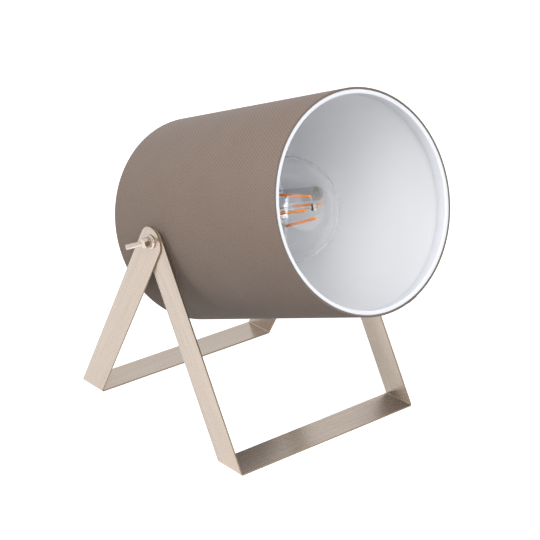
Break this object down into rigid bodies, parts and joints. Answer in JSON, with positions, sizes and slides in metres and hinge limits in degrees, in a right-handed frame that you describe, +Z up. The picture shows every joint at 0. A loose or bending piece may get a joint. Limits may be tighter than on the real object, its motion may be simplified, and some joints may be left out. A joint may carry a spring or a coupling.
{
  "type": "tabletop searchlight lamp",
  "caption": "Cylindrical fabric shade with a globe bulb inside, tilting on two folded metal strip stands joined at wing-screw pivots.",
  "frame": {"origin": "on the table, under the middle of the lamp's bounding box", "axes": "+X the way the lamp points, +Y its left side, +Z up"},
  "size_m": [0.2648, 0.2032, 0.2767],
  "materials": {
    "brushed_nickel": "satin brushed nickel plate, warm, brushed along the strip",
    "polished_nickel": "polished nickel plate",
    "taupe_fabric": "fine woven taupe textile",
    "white_liner": "white PVC film, satin",
    "white_hem": "white fabric-backed tape",
    "steel_wire": "drawn steel wire",
    "pale_plastic": "moulded nylon",
    "zinc_steel": "zinc-plated steel",
    "nylon": "natural nylon",
    "white_holder": "moulded white thermoplastic",
    "ceramic": "unglazed white ceramic",
    "brass_contact": "bright brass strip",
    "clear_glass": "clear blown glass",
    "stem_glass": "clear pressed glass",
    "nickel_cap": "nickel-plated brass cap",
    "black_insulator": "black vitrified glass",
    "amber_filament": "amber silicone over LED strips"
  },
  "bodies": {
    "back_stand": {"back_stand": "brushed_nickel"},
    "front_stand": {"front_stand": "brushed_nickel"},
    "head": {"fabric_cover": "taupe_fabric", "shade_liner": "white_liner", "front_hem": "white_hem", "rear_hem": "white_hem", "front_wire": "steel_wire", "rear_wire": "steel_wire", "back_panel": "taupe_fabric", "cord_gland": "pale_plastic", "yoke": "zinc_steel", "pivot_bush_left": "polished_nickel", "pivot_bush_right": "polished_nickel", "friction_washer_left": "nylon", "friction_washer_right": "nylon", "threaded_nipple": "zinc_steel", "nipple_nut": "zinc_steel", "holder_cap": "white_holder", "holder_sleeve": "white_holder", "holder_core": "ceramic", "screw_shell": "brass_contact", "centre_contact": "brass_contact", "side_contact": "brass_contact", "terminal_screws": "zinc_steel", "bulb_glass": "clear_glass", "bulb_cap": "nickel_cap", "cap_insulator": "black_insulator", "base_contact": "nickel_cap", "bulb_stem": "stem_glass", "filaments": "amber_filament", "filament_wires": "steel_wire"},
    "wing_left": {"wing_screw_left": "polished_nickel"},
    "wing_right": {"wing_screw_right": "polished_nickel"}
  },
  "joints": [
    {"name": "fold", "type": "hinge", "parent": "back_stand", "child": "front_stand", "pos_m": [-0.03028, 0, 0.1528], "axis": [0, -1, 0], "range_deg": [-50, 60]},
    {"name": "tilt", "type": "hinge", "parent": "back_stand", "child": "head", "pos_m": [-0.03028, 0, 0.1528], "axis": [0, -1, 0], "range_deg": [-55, 70]},
    {"name": "left_screw_turn", "type": "hinge", "parent": "head", "child": "wing_left", "pos_m": [-0.03028, 0.0875, 0.1528], "axis": [0, 1, 0], "range_deg": [0, 360]},
    {"name": "right_screw_turn", "type": "hinge", "parent": "head", "child": "wing_right", "pos_m": [-0.03028, -0.0875, 0.1528], "axis": [0, -1, 0], "range_deg": [0, 360]}
  ]
}
